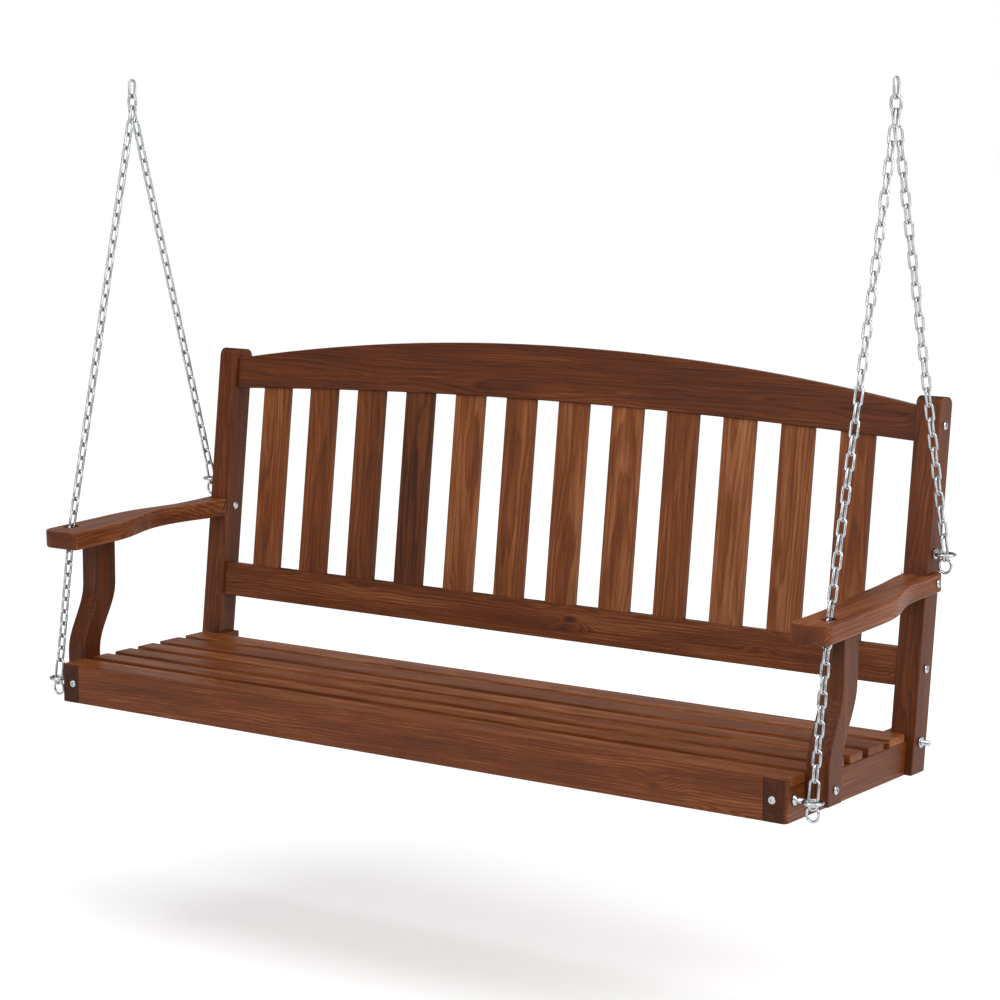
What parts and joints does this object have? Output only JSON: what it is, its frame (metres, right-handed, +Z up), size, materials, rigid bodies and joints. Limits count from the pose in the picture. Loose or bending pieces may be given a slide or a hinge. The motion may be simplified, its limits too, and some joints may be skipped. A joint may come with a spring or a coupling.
{
  "type": "porch swing",
  "caption": "Slatted wooden porch swing bench with an arched back rail and curved arms, hung by chains at each end.",
  "frame": {"origin": "midway between the two hanger links, at the height where the hooks bear in them", "axes": "+X to the right as seen from the front, +Y to the back of the bench, +Z up"},
  "size_m": [1.628, 0.5101, 1.1315],
  "materials": {
    "stained_pine": "satin",
    "slat_pine": "satin",
    "zinc_plated_steel": "satin"
  },
  "bodies": {
    "hangers": {"hanger_link_left": "zinc_plated_steel", "hanger_link_right": "zinc_plated_steel"},
    "top_rings": {"top_ring_left": "zinc_plated_steel", "top_ring_right": "zinc_plated_steel"},
    "chains_left": {"front_chain_upper_left": "zinc_plated_steel", "rear_chain_left": "zinc_plated_steel"},
    "chains_right": {"front_chain_upper_right": "zinc_plated_steel", "rear_chain_right": "zinc_plated_steel"},
    "end_ring_front_left": {"end_ring_front_left": "zinc_plated_steel"},
    "end_ring_front_right": {"end_ring_front_right": "zinc_plated_steel"},
    "end_ring_rear_left": {"end_ring_rear_left": "zinc_plated_steel"},
    "end_ring_rear_right": {"end_ring_rear_right": "zinc_plated_steel"},
    "bench": {"arm_support_bolt_left": "zinc_plated_steel", "arm_support_bolt_right": "zinc_plated_steel", "arm_support_left": "stained_pine", "arm_support_right": "stained_pine", "armrest_bolt_left": "zinc_plated_steel", "armrest_bolt_right": "zinc_plated_steel", "armrest_left": "stained_pine", "armrest_right": "stained_pine", "back_post_left": "stained_pine", "back_post_right": "stained_pine", "back_slat_1": "slat_pine", "back_slat_10": "slat_pine", "back_slat_11": "slat_pine", "back_slat_12": "slat_pine", "back_slat_2": "slat_pine", "back_slat_3": "slat_pine", "back_slat_4": "slat_pine", "back_slat_5": "slat_pine", "back_slat_6": "slat_pine", "back_slat_7": "slat_pine", "back_slat_8": "slat_pine", "back_slat_9": "slat_pine", "centre_bearer": "stained_pine", "eye_bolt_front_left": "zinc_plated_steel", "eye_bolt_front_right": "zinc_plated_steel", "eye_bolt_rear_left": "zinc_plated_steel", "eye_bolt_rear_right": "zinc_plated_steel", "front_chain_lower_left": "zinc_plated_steel", "front_chain_lower_right": "zinc_plated_steel", "front_rail": "stained_pine", "lower_back_rail": "stained_pine", "lower_rail_bolt_left": "zinc_plated_steel", "lower_rail_bolt_right": "zinc_plated_steel", "rear_seat_bolt_left": "zinc_plated_steel", "rear_seat_bolt_right": "zinc_plated_steel", "rear_seat_rail": "stained_pine", "seat_slat_1": "slat_pine", "seat_slat_2": "slat_pine", "seat_slat_3": "slat_pine", "seat_slat_4": "slat_pine", "seat_slat_5": "slat_pine", "seat_slat_6": "slat_pine", "side_rail_left": "stained_pine", "side_rail_right": "stained_pine", "top_rail": "stained_pine", "top_rail_bolt_left": "zinc_plated_steel", "top_rail_bolt_right": "zinc_plated_steel"}
  },
  "joints": [
    {"name": "swing", "type": "hinge", "parent": "hangers", "child": "top_rings", "pos_m": [0, 0, -0.0245], "axis": [1, 0, 0], "range_deg": [-25, 25]},
    {"name": "sway_left", "type": "hinge", "parent": "top_rings", "child": "chains_left", "pos_m": [-0.79, 0, -0.049], "axis": [0, 0.9929, 0.1193], "range_deg": [-5, 5]},
    {"name": "sway_right", "type": "hinge", "parent": "top_rings", "child": "chains_right", "pos_m": [0.79, 0, -0.049], "axis": [0, 0.9929, 0.1193], "range_deg": [-5, 5]},
    {"name": "bench_level", "type": "hinge", "parent": "chains_left", "child": "bench", "pos_m": [-0.79, -0.18, -0.81336], "axis": [0, 0.9929, 0.1193], "range_deg": [-5, 5]},
    {"name": "end_ring_front_left_hinge", "type": "hinge", "parent": "bench", "child": "end_ring_front_left", "pos_m": [-0.79, -0.221, -1.0984], "axis": [1, 0, 0], "range_deg": [-25, 25]},
    {"name": "end_ring_front_right_hinge", "type": "hinge", "parent": "bench", "child": "end_ring_front_right", "pos_m": [0.79, -0.221, -1.0984], "axis": [1, 0, 0], "range_deg": [-25, 25]},
    {"name": "end_ring_rear_left_hinge", "type": "hinge", "parent": "bench", "child": "end_ring_rear_left", "pos_m": [-0.79, 0.21307, -0.77253], "axis": [1, 0, 0], "range_deg": [-25, 25]},
    {"name": "end_ring_rear_right_hinge", "type": "hinge", "parent": "bench", "child": "end_ring_rear_right", "pos_m": [0.79, 0.21307, -0.77253], "axis": [1, 0, 0], "range_deg": [-25, 25]}
  ],
  "couplings": [
    {"joint": "bench_level", "follows": "sway_left", "ratio": -1},
    {"joint": "sway_right", "follows": "sway_left", "ratio": 1}
  ]
}
